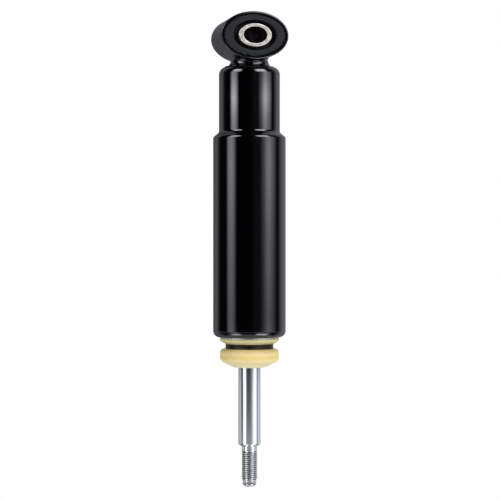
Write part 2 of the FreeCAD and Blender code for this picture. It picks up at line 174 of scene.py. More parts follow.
# a ring: half width, half height, place along the bore, rounding, material of the faces after it
def loftOvals(rings, steps, roundSteps=5):
    bm = bmesh.new()
    wide, tall, along = rings[0][:3]
    loop = bmesh.ops.create_circle(bm, segments=steps, radius=mm)["verts"]
    stand = Matrix.Diagonal((wide, 1, tall, 1)) @ Matrix.Rotation(math.pi / 2, 4, "X")
    bmesh.ops.transform(bm, matrix=Matrix.Translation((0, along * mm, 0)) @ stand, verts=loop)
    edges = bm.edges[:]
    for ring, following in zip(rings, rings[1:] + rings[:1]):
        grown = bmesh.ops.extrude_edge_only(bm, edges=edges)["geom"]
        verts = [part for part in grown if isinstance(part, bmesh.types.BMVert)]
        bmesh.ops.scale(bm, vec=(following[0] / ring[0], 1, following[1] / ring[1]), verts=verts)
        bmesh.ops.translate(bm, vec=(0, (following[2] - ring[2]) * mm, 0), verts=verts)
        for face in (part for part in grown if isinstance(part, bmesh.types.BMFace)):
            face.material_index = ring[4]
        edges = [part for part in grown if isinstance(part, bmesh.types.BMEdge)
                 and all(vert in verts for vert in part.verts)]
    bmesh.ops.remove_doubles(bm, verts=bm.verts, dist=mergeDistance)
    bmesh.ops.recalc_face_normals(bm, faces=bm.faces)
    near = 1e-4  # share of the ring's size
    for wide, tall, along, reach in (ring[:4] for ring in rings):
        if reach:
            onRim = {vert for vert in bm.verts if abs(vert.co.y / mm - along) < near * wide
                     and abs(math.hypot(vert.co.x / wide, vert.co.z / tall) / mm - 1) < near}
            rim = [edge for edge in bm.edges if onRim.issuperset(edge.verts)]
            bmesh.ops.bevel(bm, geom=rim, offset=reach * mm, offset_type="OFFSET", segments=roundSteps,
                            profile=0.5, affect="EDGES", material=-1)
    return bm


# camera, at the photograph's angle and level with the middle of the picture

view = {
    "azimuth": 13.3,  # degrees to the left of the eye bore's axis
    "distance": 1140.0,
    "height": -134.4,
    "aside": 0.35,  # the damper stands this far left of the picture's centre
    "lens": 129.6,
    "sensor": 36.0,
}
azimuth = math.radians(view["azimuth"])
towardCamera = Vector((-math.sin(azimuth), -math.cos(azimuth), 0))
pictureRight = Vector((math.cos(azimuth), -math.sin(azimuth), 0))
lens = bpy.data.cameras.new("camera")
lens.lens = view["lens"]
lens.sensor_width = view["sensor"]
camera = bpy.data.objects.new("camera", lens)
bpy.context.scene.collection.objects.link(camera)
camera.location = (towardCamera * view["distance"] + pictureRight * view["aside"]) * mm
camera.location.z = view["height"] * mm
camera.rotation_euler = (math.pi / 2, 0, -azimuth)
bpy.context.scene.camera = camera
bpy.context.scene.view_settings.view_transform = "Standard"
print("camera placed")


# studio: tall strips and wide panels beside the camera, a white backdrop, a pale floor far below

studio = {  # turns are degrees round from the camera, rises degrees up from level, with a brightness
    "tint": "f6f8ff",  # daylight lamps, a little cool
    "boxLevel": 6.0,  # strips beside the camera, seen by the tubes
    "boxTurn": [
        (-79, 0.0), (-75.5, 0.2), (-70, 0.8), (-65, 1.0), (-56, 1.0), (-49, 0.55), (-43, 0.06), (-39, 0.0),
        (33, 0.0), (42, 0.15), (50, 0.43), (58, 0.86), (63, 0.93), (69, 0.8), (78, 0.48), (88, 0.2),
        (95, 0.0),
    ],
    "boxRise": [
        (-3.6, 0.0), (-3.4, 0.38), (-2.95, 0.38), (-2.75, 0.17), (-2.4, 0.18), (-0.8, 0.25), (0.6, 0.3),
        (1.6, 0.37), (2.7, 0.45), (3.5, 0.4), (3.95, 0.4), (4.2, 0.51), (4.4, 0.68), (4.57, 0.85),
        (4.72, 1.02), (5.05, 1.02), (5.15, 0.93), (5.25, 0.77), (5.4, 0.55), (5.6, 0.45), (12, 0.45),
        (20, 0.0),
    ],
    "panelLevel": 7.1,  # wide panels above and below the strips
    "panelTurn": [
        (-76, 0.0), (-62, 0.9), (-42, 0.9), (-28, 0.0), (20, 0.0), (34, 1.05), (62, 1.05), (77, 0.0),
    ],
    "panelRise": [
        (-56, 0.0), (-50, 0.62), (-38, 0.66), (-32, 0.3), (-22, 0.14), (-15, 0.0), (9, 0.0), (18, 0.45),
        (28, 0.9), (35, 1.05), (44, 1.05), (52, 0.0),
    ],
    "nearLevel": 2.0,  # foot of the strips, nearer the middle, seen by the rod
    "nearTurn": [
        (-152, 0.1), (-140, 0.17), (-124, 0.33), (-108, 0.35), (-97, 0.2), (-86, 0.05), (-76, 0.03),
        (-70, 0.18), (-64, 0.65), (-58, 1.0), (-44, 1.0), (-38, 0.6), (-32, 0.25), (-26, 0.07), (-20, 0.05),
        (4, 0.04), (10, 0.085), (20, 0.16), (30, 0.35), (38, 0.54), (46, 0.74), (70, 0.74), (78, 0.5),
        (86, 0.25), (92, 0.2), (100, 0.29), (108, 0.37), (118, 0.42), (126, 0.42), (144, 0.23),
    ],
    "nearRise": [(-10, 0.0), (-8.5, 1.0), (-3.8, 1.0), (-3.2, 0.0)],
    "wallTurn": [  # walls of the room, pale at the sides and dark beside the camera
        (-153, 0.18), (-145, 0.3), (-130, 0.46), (-124, 0.46), (-117, 0.24), (-107, 0.02), (-90, 0.012),
        (-40, 0.0), (4, 0.0), (12, 0.03), (20, 0.05), (32, 0.054), (100, 0.02), (110, 0.21), (118, 0.48),
        (128, 0.64), (140, 0.53), (150, 0.46),
    ],
    "sweepTurn": [(-130, 0.3), (-100, 1.0), (110, 1.0), (140, 0.8)],  # paper sweep below
    "sweepRise": [
        (-80, 0.42), (-62, 0.9), (-50, 0.9), (-46, 0.12), (-24, 0.06), (-13, 0.1), (-9, 0.5), (-6.2, 0.5),
        (-5.4, 0.1), (-4.5, 0.02), (-3.8, 0.0),
    ],
    "backTurn": [(-179, 1.0), (-175, 0.0), (175, 0.0), (179, 1.0)],  # white backdrop behind the object
    "floorColour": "d2d2d2",
    "floorDrop": 300.0,  # the damper hangs clear of the floor
    "floorRadius": 300.0,
    "floorFade": 170.0,  # from here out the floor fades into the backdrop
    "floorSteps": 96,
}


def makeWorld():
    world = bpy.data.worlds.new("studio")
    bpy.context.scene.world = world
    world.use_nodes = True
    tree = world.node_tree
    tree.nodes.clear()
    ray = addNode(tree, "ShaderNodeTexCoord").outputs["Generated"]
    along = addNode(tree, "ShaderNodeVectorMath", {0: ray, 1: towardCamera}, operation="DOT_PRODUCT")
    across = addNode(tree, "ShaderNodeVectorMath", {0: ray, 1: pictureRight}, operation="DOT_PRODUCT")
    up = addNode(tree, "ShaderNodeVectorMath", {0: ray, 1: (0, 0, 1)}, operation="DOT_PRODUCT")
    turn = addNode(tree, "ShaderNodeMath", {0: across.outputs["Value"], 1: along.outputs["Value"]},
                   operation="ARCTAN2").outputs[0]
    rise = addNode(tree, "ShaderNodeMath", {0: up.outputs["Value"]}, operation="ARCSINE").outputs[0]
    share = {}
    for name, curve in studio.items():
        if name.endswith(("Turn", "Rise")):
            angle, reach = (turn, 180) if name.endswith("Turn") else (rise, 90)
            spot = addNode(tree, "ShaderNodeMapRange", {"Value": angle, "From Min": -math.radians(reach),
                                                        "From Max": math.radians(reach)})
            stops = [(0.5 + degrees / (2 * reach), (level, level, level, 1)) for degrees, level in curve]
            ramp = addNode(tree, "ShaderNodeValToRGB", {"Fac": spot.outputs[0]}, stops)
            share[name] = ramp.outputs["Color"]
    lamps = {}
    for name in ("box", "panel", "near"):
        shape = addNode(tree, "ShaderNodeMath", {0: share[name + "Turn"], 1: share[name + "Rise"]},
                        operation="MULTIPLY")
        lamps[name] = addNode(tree, "ShaderNodeMath", {0: shape.outputs[0], 1: studio[name + "Level"]},
                              operation="MULTIPLY").outputs[0]
    sweep = addNode(tree, "ShaderNodeMath", {0: share["sweepTurn"], 1: share["sweepRise"]},
                    operation="MULTIPLY")
    pale = addNode(tree, "ShaderNodeMath", {0: share["wallTurn"], 1: sweep.outputs[0]}, operation="MAXIMUM")
    pale = addNode(tree, "ShaderNodeMath", {0: pale.outputs[0], 1: lamps["near"]}, operation="MAXIMUM")
    lamp = addNode(tree, "ShaderNodeMath", {0: lamps["box"], 1: lamps["panel"]}, operation="ADD")
    level = addNode(tree, "ShaderNodeMath", {0: pale.outputs[0], 1: lamp.outputs[0]}, operation="ADD")
    lit = addNode(tree, "ShaderNodeBackground", {"Color": hexColour(studio["tint"]),
                                                 "Strength": level.outputs[0]})
    white = addNode(tree, "ShaderNodeBackground", {"Color": (1, 1, 1, 1), "Strength": 1.0})
    path = addNode(tree, "ShaderNodeLightPath")
    mirrored = addNode(tree, "ShaderNodeMath", {0: path.outputs["Is Glossy Ray"],
                                                1: path.outputs["Is Transmission Ray"]}, operation="MAXIMUM")
    behind = addNode(tree, "ShaderNodeMath", {0: mirrored.outputs[0], 1: share["backTurn"]},
                     operation="MULTIPLY")
    seen = addNode(tree, "ShaderNodeMath", {0: path.outputs["Is Camera Ray"], 1: behind.outputs[0]},
                   operation="MAXIMUM")
    mixed = addNode(tree, "ShaderNodeMixShader", {0: seen.outputs[0], 1: lit.outputs[0],
                                                  2: white.outputs[0]})
    addNode(tree, "ShaderNodeOutputWorld", {"Surface": mixed.outputs[0]})


def makeFloor():
    bm = bmesh.new()
    bmesh.ops.create_circle(bm, cap_ends=True, segments=studio["floorSteps"],
                            radius=studio["floorRadius"] * mm)
    bmesh.ops.translate(bm, vec=(0, 0, cadBounds[0][2] - studio["floorDrop"] * mm), verts=bm.verts)
    mesh = bpy.data.meshes.new("floor")
    bm.to_mesh(mesh)
    bm.free()
    material, tree, place = startMaterial("paleMatteFloor", {"Base Color": hexColour(studio["floorColour"]),
                                                             "Roughness": 0.9})
    flat = addNode(tree, "ShaderNodeVectorMath", {0: place, 1: (1, 1, 0)}, operation="MULTIPLY")
    out = addNode(tree, "ShaderNodeVectorMath", {0: flat.outputs[0]}, operation="LENGTH")
    fade = addNode(tree, "ShaderNodeMapRange", {"Value": out.outputs["Value"],
                                                "From Min": studio["floorFade"] * mm,
                                                "From Max": studio["floorRadius"] * mm,
                                                "To Min": 1.0, "To Max": 0.0},
                   interpolation_type="SMOOTHSTEP")
    mesh.materials.append(finishMaterial(material, {"Alpha": fade}))
    floor = bpy.data.objects.new("floor", mesh)
    bpy.context.scene.collection.objects.link(floor)


makeWorld()
makeFloor()
print("studio lit")


# black paintwork: eye ring, stem, weld and reservoir tube

def blackEnamel():  # stoved gloss enamel: deep black, sharp reflections, a trace of orange peel
    material, tree, place = startMaterial("blackStovedEnamel", {"Base Color": hexColour("020203"),
                                                                "IOR": 1.7})
    peelSize = 1.8  # mm
    peel = addNode(tree, "ShaderNodeTexNoise", {"Vector": place, "Scale": 1 / (peelSize * mm),
                                                "Detail": 1.0})
    bump = addNode(tree, "ShaderNodeBump", {"Strength": 0.03, "Distance": 0.05 * mm,
                                            "Height": peel.outputs["Fac"]})
    hazeSize = 22.0  # mm, faint cloudiness in the gloss
    haze = addNode(tree, "ShaderNodeTexNoise", {"Vector": place, "Scale": 1 / (hazeSize * mm),
                                                "Detail": 3.0})
    rough = addNode(tree, "ShaderNodeMapRange", {**noiseSpan, "Value": haze.outputs["Fac"],
                                                 "To Min": 0.025, "To Max": 0.045})
    return finishMaterial(material, {"Roughness": rough, "Normal": bump})


enamel = blackEnamel()


# eye ring: oval hoop of drawn tube with broken edges

ringSettings = {"wall": 2.4, "outerRound": 0.85, "innerRound": 0.15, "steps": 160}


def makeEyeRing():
    size = ringSettings
    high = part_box("eye_ring")[1] / mm
    wide, tall, half = high.x, high.z, high.y
    rings = [
        (wide, tall, -half, size["outerRound"], 0),
        (wide, tall, half, size["outerRound"], 0),
        (wide - size["wall"], tall - size["wall"], half, size["innerRound"], 0),
        (wide - size["wall"], tall - size["wall"], -half, size["innerRound"], 0),
    ]
    finishPiece("eyeRing", loftOvals(rings, size["steps"]), [enamel], "damper", ["eye_ring"])
    return wide, tall


ringWide, ringTall = makeEyeRing()


# bush: oval rubber bonded round a turned sleeve, with a moat in each end face

rubberSettings = {
    "moatWide": 13.9,  # half sizes
    "moatTall": 9.45,
    "moatDepth": 6.2,
    "moatDraft": 0.4,
    "bore": 7.05,
    "boreRound": 0.15,
    "edgeRound": 0.9,
    "lipRound": 0.7,
    "floorRound": 0.8,
    "steps": 160,
}


def mouldedRubber():  # natural rubber from a steel mould: charcoal, dull, fine grain, a faint grey bloom
    material, tree, place = startMaterial("mouldedBushRubber", {"IOR": 1.5, "Specular IOR Level": 0.3})
    bloomSize = 7.0  # mm
    bloom = addNode(tree, "ShaderNodeTexNoise", {"Vector": place, "Scale": 1 / (bloomSize * mm),
                                                 "Detail": 4.0})
    colour = addNode(tree, "ShaderNodeValToRGB", {"Fac": bloom.outputs["Fac"]},
                     [(0.3, hexColour("121315")), (0.72, hexColour("1a1b1d"))])
    rough = addNode(tree, "ShaderNodeMapRange", {**noiseSpan, "Value": bloom.outputs["Fac"],
                                                 "To Min": 0.56, "To Max": 0.7})
    grainSize = 0.35  # mm, spark-eroded mould
    grain = addNode(tree, "ShaderNodeTexNoise", {"Vector": place, "Scale": 1 / (grainSize * mm),
                                                 "Detail": 2.0})
    bump = addNode(tree, "ShaderNodeBump", {"Strength": 0.5, "Distance": 0.04 * mm,
                                            "Height": grain.outputs["Fac"]})
    return finishMaterial(material, {"Base Color": colour, "Roughness": rough, "Normal": bump})


def makeBushRubber():
    size = rubberSettings
    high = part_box("bush_rubber")[1] / mm
    floor = high.y - size["moatDepth"]
    half = [
        (high.x, high.z, high.y, size["edgeRound"], 0),
        (size["moatWide"], size["moatTall"], high.y, size["lipRound"], 0),
        (size["moatWide"] - size["moatDraft"], size["moatTall"] - size["moatDraft"], floor,
         size["floorRound"], 0),
        (size["bore"], size["bore"], floor, size["boreRound"], 0),
    ]
    rings = half + [(wide, tall, -along, reach, finish)
                    for wide, tall, along, reach, finish in reversed(half)]
    finishPiece("bushRubber", loftOvals(rings, size["steps"]), [mouldedRubber()], "damper",
                ["bush_rubber"])


sleeveSettings = {
    "bore": 4.1,
    "barrel": 7.0,
    "mouthWide": 7.4,  # half sizes
    "mouthTall": 5.15,
    "mouthDepth": 1.0,
    "collarLength": 6.5,
    "outerBreak": 0.45,
    "mouthBreak": 0.35,
    "pocketRound": 0.15,
    "boreBreak": 0.2,
    "backBreak": 0.2,
    "steps": 128,
}


def turnedSteel():  # zinc-plated mild steel, faced in the lathe: warm grey, fine rings round the bore
    material, tree, place = startMaterial("turnedZincSteel", {"Metallic": 1.0})
    flat = addNode(tree, "ShaderNodeVectorMath", {0: place, 1: (1, 0, 1)}, operation="MULTIPLY")
    radius = addNode(tree, "ShaderNodeVectorMath", {0: flat.outputs[0]}, operation="LENGTH")
    axial = addNode(tree, "ShaderNodeSeparateXYZ", {0: place})
    travel = addNode(tree, "ShaderNodeMath", {0: radius.outputs["Value"], 1: axial.outputs["Y"]},
                     operation="ADD")
    feedSize = 0.3  # mm per turn of the lathe, drawn coarse enough to show
    feed = addNode(tree, "ShaderNodeTexNoise", {"W": travel.outputs[0], "Scale": 1 / (feedSize * mm),
                                                "Detail": 2.0}, noise_dimensions="1D")
    tarnishSize = 2.5  # mm
    tarnish = addNode(tree, "ShaderNodeTexNoise", {"Vector": place, "Scale": 1 / (tarnishSize * mm),
                                                   "Detail": 4.0})
    feedShare = 0.6  # how strongly the rings show beside the tarnish
    blend = addNode(tree, "ShaderNodeMath", {0: feed.outputs["Fac"], 1: feedShare,
                                             2: tarnish.outputs["Fac"]},
                    operation="MULTIPLY_ADD")
    colour = addNode(tree, "ShaderNodeValToRGB", {"Fac": blend.outputs[0]},
                     [(0.5, hexColour("aca79d")), (1.0, hexColour("dfdacf"))])
    rough = addNode(tree, "ShaderNodeMapRange", {**noiseSpan, "Value": tarnish.outputs["Fac"],
                                                 "To Min": 0.34, "To Max": 0.46})
    bump = addNode(tree, "ShaderNodeBump", {"Strength": 0.25, "Distance": 0.03 * mm,
                                            "Height": feed.outputs["Fac"]})
    return finishMaterial(material, {"Base Color": colour, "Roughness": rough, "Normal": bump})


def paintedShadeBore():  # dull brown-black and almost without gloss inside: painted shade in the bore and the mouth's pocket
    material, tree, place = startMaterial("paintedShadeBore", {"IOR": 1.5, "Specular IOR Level": 0.03})
    boreMottleSize = 3.0  # mm
    boreMottle = addNode(tree, "ShaderNodeTexNoise", {"Vector": place, "Scale": 1 / (boreMottleSize * mm),
                                                 "Detail": 3.0})
    colour = addNode(tree, "ShaderNodeValToRGB", {"Fac": boreMottle.outputs["Fac"]},
                     [(0.3, hexColour("020201")), (0.7, hexColour("050403"))])
    rough = addNode(tree, "ShaderNodeMapRange", {**noiseSpan, "Value": boreMottle.outputs["Fac"],
                                                 "To Min": 0.65, "To Max": 0.45})
    return finishMaterial(material, {"Base Color": colour, "Roughness": rough})


def makeBushSleeve():
    size = sleeveSettings
    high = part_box("bush_sleeve")[1] / mm
    back = high.y - size["collarLength"]
    pocket = high.y - size["mouthDepth"]
    rings = [
        (size["bore"], size["bore"], pocket, size["boreBreak"], 1),
        (size["mouthWide"], size["mouthTall"], pocket, size["pocketRound"], 1),
        (size["mouthWide"], size["mouthTall"], high.y, size["mouthBreak"], 0),
        (high.x, high.z, high.y, size["outerBreak"], 0),
        (high.x, high.z, back, size["backBreak"], 0),
        (size["barrel"], size["barrel"], back, 0, 0),
    ]
    finishes = [0, 0, 0, 1, 1, 1]  # turned from the barrel to the mouth, near black from there to the bore as painted shade
    for ring, finish in zip(rings[::-1], finishes):
        wide, tall, along, reach = ring[:4]
        rings.append((wide, tall, -along, reach, finish))
    finishPiece("bushSleeve", loftOvals(rings, size["steps"]), [turnedSteel(), paintedShadeBore()], "sleeve",
                ["bush_sleeve"])


makeBushRubber()
makeBushSleeve()


# stem: stub that saddles the ring, welded to the closed end of the tube

stemSettings = {
    "radius": 11.95,
    "waist": 11.6,  # under the saddle
    "saddleReach": 1.7,  # fillet where the stem meets the ring
    "saddleCurve": [(0.5, 0.2), (0.2, 0.45), (0.0, 1.0)],  # shares of the reach, out and down
    "saddleFront": 0.5,  # share of the saddle's size at front and back
    "buried": 0.3,  # depth of the saddle inside the ring's wall
    "crown": 1.0,  # the middle of the saddle's top stands this far into the ring
    "weldLeg": 3.8,
    "weldEnd": 0.2,  # straight bit at each end of the hollow face
    "weldToe": 0.12,
    "weldRoot": 0.5,  # sunk into the closed end
    "weldInside": 0.4,  # sunk into the stem
    "weldProud": 0.05,  # stands off the stem at its top
    "weldFront": 0.32,  # share of the weld's size at front and back
    "weldRoundSteps": 10,
    "steps": 160,
}


def makeStem():
    size = stemSettings
    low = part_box("eye_stem")[0] / mm
    bm = bmesh.new()
    reach = size["saddleReach"]
    outline = [(0, -ringTall + size["crown"]), (size["waist"] + reach, -ringTall + size["buried"])]
    outline += [(size["waist"] + out * reach, -ringTall - down * reach) for out, down in size["saddleCurve"]]
    outline += [(size["radius"], low.z), (0, low.z)]
    turnOutline(bm, outline, size["steps"])
    for vert in bm.verts:
        radius = vert.co.xy.length / mm
        lifted = vert.co.z > low.z * mm + mergeDistance
        if lifted and radius > size["waist"] / 2:  # neither the foot nor the middle of the top
            share = size["saddleFront"] + (1 - size["saddleFront"]) * (vert.co.x / mm / radius) ** 2
            wanted = size["waist"] + (radius - size["waist"]) * share
            vert.co.x *= wanted / radius
            vert.co.y *= wanted / radius
            rise = vert.co.z / mm + ringTall  # above the ring's lowest line
            if rise > 0:
                rise *= share
            across = vert.co.x / (ringWide * mm)
            vert.co.z = (rise - ringTall * math.sqrt(1 - across * across)) * mm  # follows the oval
    finishPiece("eyeStem", bm, [enamel], "damper", ["eye_stem"], sharpAngle=50)


def makeWeld():
    size = stemSettings
    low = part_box("stem_weld")[0] / mm
    toe = size["radius"] + size["weldLeg"]
    faceRadius = size["radius"] + size["weldProud"]
    innerRadius = size["radius"] - size["weldInside"]
    bm = bmesh.new()
    outline = [
        (innerRadius, low.z - size["weldRoot"]),
        (toe, low.z - size["weldRoot"]),
        (toe, low.z + size["weldToe"]),
        (faceRadius, low.z + size["weldToe"], size["weldLeg"] - size["weldEnd"]),
        (faceRadius, low.z + size["weldLeg"]),
        (innerRadius, low.z + size["weldLeg"]),
    ]
    turnOutline(bm, outline, size["steps"], size["weldRoundSteps"], closed=True)
    for vert in bm.verts:
        radius = vert.co.xy.length / mm
        share = size["weldFront"] + (1 - size["weldFront"]) * (vert.co.x / mm / radius) ** 2
        if radius > size["radius"]:
            wanted = size["radius"] + (radius - size["radius"]) * share
            vert.co.x *= wanted / radius
            vert.co.y *= wanted / radius
        vert.co.z = (low.z + (vert.co.z / mm - low.z) * share) * mm
    finishPiece("stemWeld", bm, [enamel], "damper", ["stem_weld"])


makeStem()
makeWeld()


# reservoir tube: drawn steel, swaged step, lip rolled in over the cap

tubeSettings = {
    "upperRadius": 19.3,
    "wall": 2.0,
    "shoulderRound": 5.0,
    "stepTop": 41.4,  # below the closed end
    "stepLength": 3.1,
    "stepRound": 1.0,
    "lipRound": 4.3,
    "lipFlat": 0.2,
    "roundSteps": 14,
    "steps": 256,
}


def makeTube():
    size = tubeSettings
    low, high = (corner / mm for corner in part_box("reservoir_tube"))
    lowerRadius = high.x
    stepTop = high.z - size["stepTop"]
    stepLow = stepTop - size["stepLength"]
    lipRadius = lowerRadius - size["lipRound"] - size["lipFlat"]
    inner = size["wall"]
    outline = [
        (0, high.z),
        (size["upperRadius"], high.z, size["shoulderRound"]),
        (size["upperRadius"], stepTop, size["stepRound"]),
        (lowerRadius, stepLow, size["stepRound"]),
        (lowerRadius, low.z, size["lipRound"]),
        (lipRadius, low.z),
        (lipRadius, low.z + inner),
        (lowerRadius - inner, low.z + inner, size["lipRound"] - inner),
        (lowerRadius - inner, stepLow - inner / 2),
        (size["upperRadius"] - inner, stepTop - inner / 2),
        (size["upperRadius"] - inner, high.z - inner, size["shoulderRound"] - inner),
        (0, high.z - inner),
    ]
    bm = bmesh.new()
    turnOutline(bm, outline, size["steps"], size["roundSteps"])
    finishPiece("reservoirTube", bm, [enamel], "damper", ["reservoir_tube"])


makeTube()


# closure cap: pressed and zinc plated, a thin bright edge below the rolled lip

capSettings = {
    "boss": 18.45,
    "bossHeight": 2.6,
    "hole": 7.8,
    "edgeRound": 0.12,
    "rimRound": 2.3,  # where the cap lies in the lip's bend
    "roundSteps": 5,
    "steps": 192,
}


def brightZinc():  # bright zinc on pressed steel: pale, slightly blue, soft spangle
    material, tree, place = startMaterial("brightZincPlate", {"Metallic": 1.0})
    spangleSize = 1.6  # mm
    spangle = addNode(tree, "ShaderNodeTexNoise", {"Vector": place, "Scale": 1 / (spangleSize * mm),
                                                   "Detail": 3.0})
    colour = addNode(tree, "ShaderNodeValToRGB", {"Fac": spangle.outputs["Fac"]},
                     [(0.3, hexColour("c9ccce")), (0.7, hexColour("e6e7e6"))])
    rough = addNode(tree, "ShaderNodeMapRange", {**noiseSpan, "Value": spangle.outputs["Fac"],
                                                 "To Min": 0.38, "To Max": 0.46})
    return finishMaterial(material, {"Base Color": colour, "Roughness": rough})


def makeCap():
    size = capSettings
    low, high = (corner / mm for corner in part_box("closure_cap"))
    shelf = low.z + size["bossHeight"]
    outline = [
        (size["hole"], low.z, size["edgeRound"]),
        (size["boss"], low.z, size["edgeRound"]),
        (size["boss"], shelf),
        (high.x, shelf, size["rimRound"]),
        (high.x, high.z),
        (size["hole"], high.z),
    ]
    bm = bmesh.new()
    turnOutline(bm, outline, size["steps"], size["roundSteps"], closed=True)
    finishPiece("closureCap", bm, [brightZinc()], "damper", ["closure_cap"])


makeCap()


# bump stop: cream polyurethane, two lobes with a support ring in the waist

bumpSettings = {
    "bore": 7.08,
    "upperHeight": 3.4,
    "upperSlope": 1.75,  # height of the coned underside of the upper lobe
    "waistHeight": 3.1,
    "waistRadius": 13.6,
    "ringRadius": 15.2,
    "noseHeight": 4.35,
    "noseWidth": 2.8,
    "upperRound": 0.9,
    "lowerRound": 2.4,
    "noseRound": 2.2,
    "tipRound": 0.9,
    "edgeRound": 0.1,
    "waistRound": 0.3,
    "boreRound": 0.4,
    "roundSteps": 8,
    "steps": 192,
}


def creamUrethane():  # cellular polyurethane with a moulded skin: cream, satin, faint clouds and pin holes
    material, tree, place = startMaterial("creamPolyurethane", {"IOR": 1.5, "Subsurface Weight": 0.15,
                                                                "Subsurface Radius": (1.0, 0.7, 0.3),
                                                                "Subsurface Scale": 1.2 * mm})
    low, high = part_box("bump_stop")
    cloudSize = 6.0  # mm
    cloudShare = 0.12  # how far a cloud shifts the tone
    cloud = addNode(tree, "ShaderNodeTexNoise", {"Vector": place, "Scale": 1 / (cloudSize * mm),
                                                 "Detail": 4.0})
    axial = addNode(tree, "ShaderNodeSeparateXYZ", {0: place})
    # colour by height paints light and shade onto the urethane: a painted highlight at the nose, painted
    # shade under the ring and the cap
    height = addNode(tree, "ShaderNodeMapRange", {"Value": axial.outputs["Z"], "From Min": low.z,
                                                  "From Max": high.z, "To Min": -cloudShare / 2,
                                                  "To Max": 1 - cloudShare / 2})
    cloudAndPaintedShade = addNode(tree, "ShaderNodeMath", {0: cloud.outputs["Fac"], 1: cloudShare, 2: height.outputs[0]},
                   operation="MULTIPLY_ADD")  # clouds are the urethane's own tone; the height part is painted light and shade: paler at the nose as light from below, darker bands and a greener tint where the lobes lie in shade under the ring and the cap
    colour = addNode(tree, "ShaderNodeValToRGB", {"Fac": cloudAndPaintedShade.outputs[0]},
                     [(0.0, hexColour("fff0bc")), (0.24, hexColour("fbe4a2")), (0.36, hexColour("e2c97c")),
                      (0.48, hexColour("ead392")), (0.6, hexColour("cab276")), (0.8, hexColour("d6ca90")),
                      (1.0, hexColour("d6cc97"))])
    poreSize = 0.9  # mm between pin holes
    pore = addNode(tree, "ShaderNodeTexVoronoi", {"Vector": place, "Scale": 1 / (poreSize * mm)})
    pit = addNode(tree, "ShaderNodeMapRange", {"Value": pore.outputs["Distance"], "From Min": 0.05,
                                               "From Max": 0.22})
    skinSize = 0.5  # mm
    skin = addNode(tree, "ShaderNodeTexNoise", {"Vector": place, "Scale": 1 / (skinSize * mm),
                                                "Detail": 2.0})
    pitShare = 0.6  # depth of the pin holes beside the skin's relief
    relief = addNode(tree, "ShaderNodeMath", {0: pit.outputs[0], 1: pitShare, 2: skin.outputs["Fac"]},
                     operation="MULTIPLY_ADD")
    bump = addNode(tree, "ShaderNodeBump", {"Strength": 0.35, "Distance": 0.05 * mm,
                                            "Height": relief.outputs[0]})
    rough = addNode(tree, "ShaderNodeMapRange", {**noiseSpan, "Value": cloud.outputs["Fac"],
                                                 "To Min": 0.42, "To Max": 0.55})
    return finishMaterial(material, {"Base Color": colour, "Roughness": rough, "Normal": bump})


def makeBumpStop():
    size = bumpSettings
    low, high = (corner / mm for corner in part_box("bump_stop"))
    radius = high.x
    waistTop = high.z - size["upperHeight"]
    waistLow = waistTop - size["waistHeight"]
    outline = [
        (size["bore"], low.z, size["boreRound"]),
        (size["bore"] + size["noseWidth"], low.z, size["tipRound"]),
        (radius, low.z + size["noseHeight"], size["noseRound"]),
        (radius, waistLow, size["lowerRound"]),
        (size["waistRadius"], waistLow, size["waistRound"]),
        (size["waistRadius"], waistTop, size["waistRound"]),
        (size["ringRadius"], waistTop, size["waistRound"]),
        (radius, waistTop + size["upperSlope"], size["upperRound"]),
        (radius, high.z, size["edgeRound"]),
        (size["bore"], high.z, size["boreRound"]),
    ]
    bm = bmesh.new()
    turnOutline(bm, outline, size["steps"], size["roundSteps"], closed=True)
    finishPiece("bumpStop", bm, [creamUrethane()], "stop", ["bump_stop"])


stopRingSettings = {
    "wall": 1.6,
    "groove": 0.45,
    "grooveHalf": 0.4,
    "grooveRound": 0.15,
    "grooveEdge": 0.2,
    "edgeRound": 0.5,
    "roundSteps": 4,
    "steps": 192,
}


def brownAcetal():  # moulded acetal ring: dark brown, waxy gloss
    material, tree, place = startMaterial("brownAcetal", {"IOR": 1.48, "Specular IOR Level": 0.35})
    swirlSize = 3.0  # mm
    swirl = addNode(tree, "ShaderNodeTexNoise", {"Vector": place, "Scale": 1 / (swirlSize * mm),
                                                 "Detail": 3.0})
    colour = addNode(tree, "ShaderNodeValToRGB", {"Fac": swirl.outputs["Fac"]},
                     [(0.3, hexColour("140a05")), (0.7, hexColour("20110a"))])
    rough = addNode(tree, "ShaderNodeMapRange", {**noiseSpan, "Value": swirl.outputs["Fac"],
                                                 "To Min": 0.3, "To Max": 0.42})
    return finishMaterial(material, {"Base Color": colour, "Roughness": rough})


def makeStopRing():
    size = stopRingSettings
    low, high = (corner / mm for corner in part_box("bump_stop_ring"))
    middle = (low.z + high.z) / 2
    outline = [
        (high.x - size["wall"], low.z),
        (high.x, low.z, size["edgeRound"]),
        (high.x, middle - size["grooveHalf"], size["grooveEdge"]),
        (high.x - size["groove"], middle, size["grooveRound"]),
        (high.x, middle + size["grooveHalf"], size["grooveEdge"]),
        (high.x, high.z, size["edgeRound"]),
        (high.x - size["wall"], high.z),
    ]
    bm = bmesh.new()
    turnOutline(bm, outline, size["steps"], size["roundSteps"], closed=True)
    finishPiece("bumpStopRing", bm, [brownAcetal()], "stop", ["bump_stop_ring"])


makeBumpStop()
makeStopRing()


# piston rod: ground and chromed shaft, turned shank, rolled M10 x 1.25 thread, dog point

